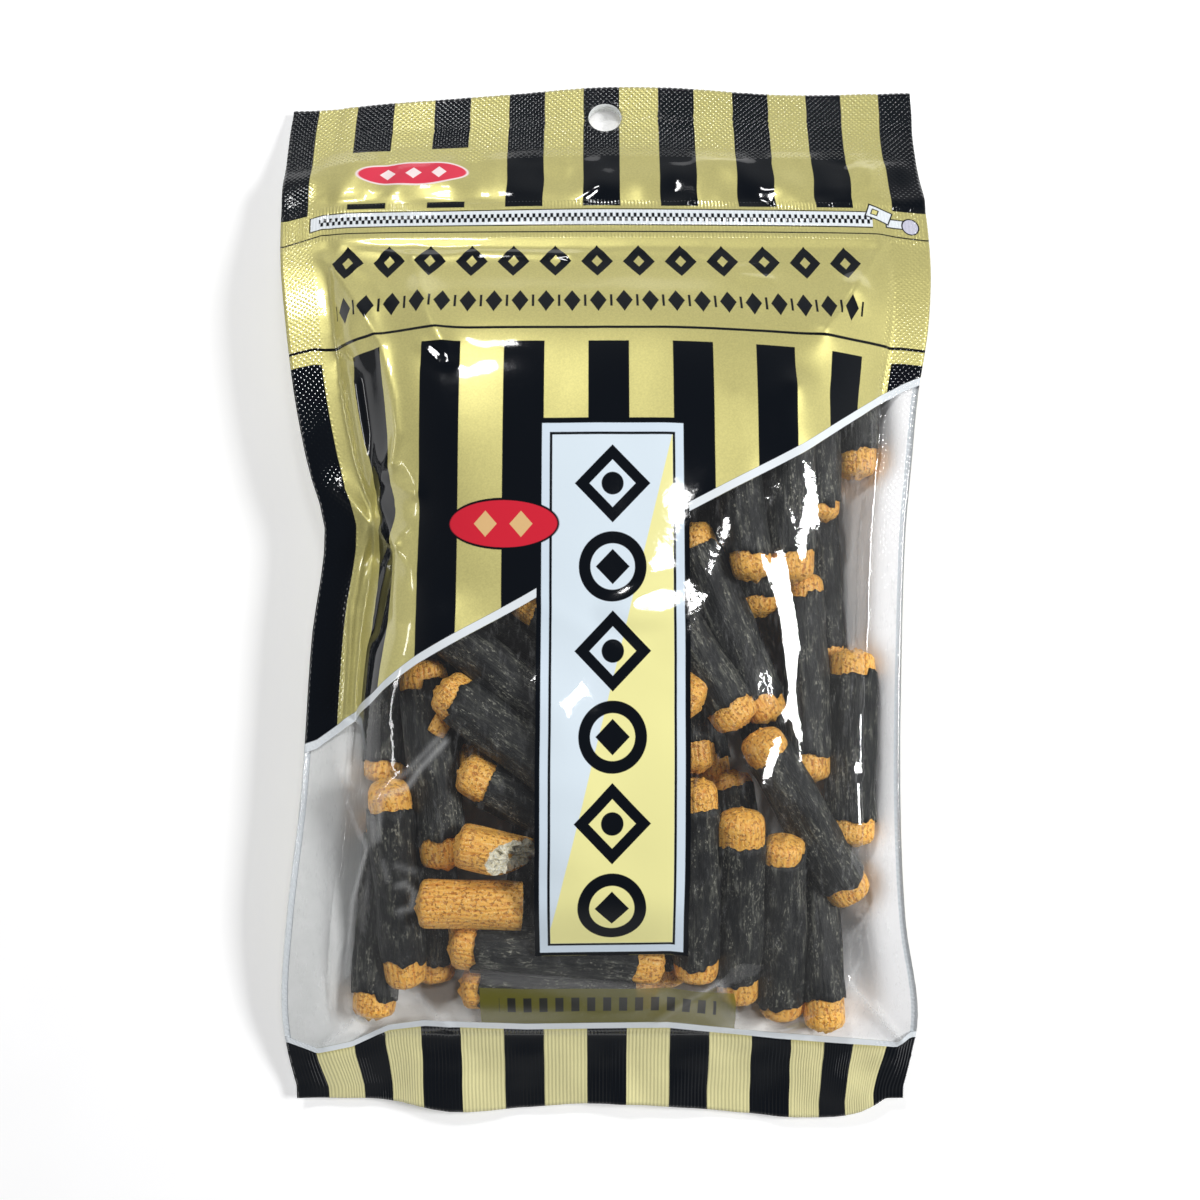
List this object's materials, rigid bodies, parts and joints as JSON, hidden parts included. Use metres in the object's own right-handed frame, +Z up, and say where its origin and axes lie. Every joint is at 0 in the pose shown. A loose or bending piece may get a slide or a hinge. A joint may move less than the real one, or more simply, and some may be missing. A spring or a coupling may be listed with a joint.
{
  "type": "rice cracker pouch",
  "caption": "Flat zip pouch of seaweed-wrapped stick rice crackers, lying face up, with a hang hole, a striped print and a clear slanted window.",
  "frame": {"origin": "middle of the pouch's box at the table it lies on", "axes": "+Y along the pouch towards its hang hole, +X across it to the right as its front is seen, +Z up out of its front"},
  "size_m": [0.1373, 0.2191, 0.0342],
  "materials": {
    "printed_film": "pale metallic gold and black stripes printed under a glossy clear film",
    "clear_film": "glossy clear film, finely ribbed along the heat seals",
    "seaweed": "dry roasted seaweed sheet, fibrous, with a dull sheen",
    "cracker": "baked and soy-glazed rice cracker, ridged along its length"
  },
  "bodies": {
    "root": {"pouch": "printed_film"}
  },
  "joints": []
}
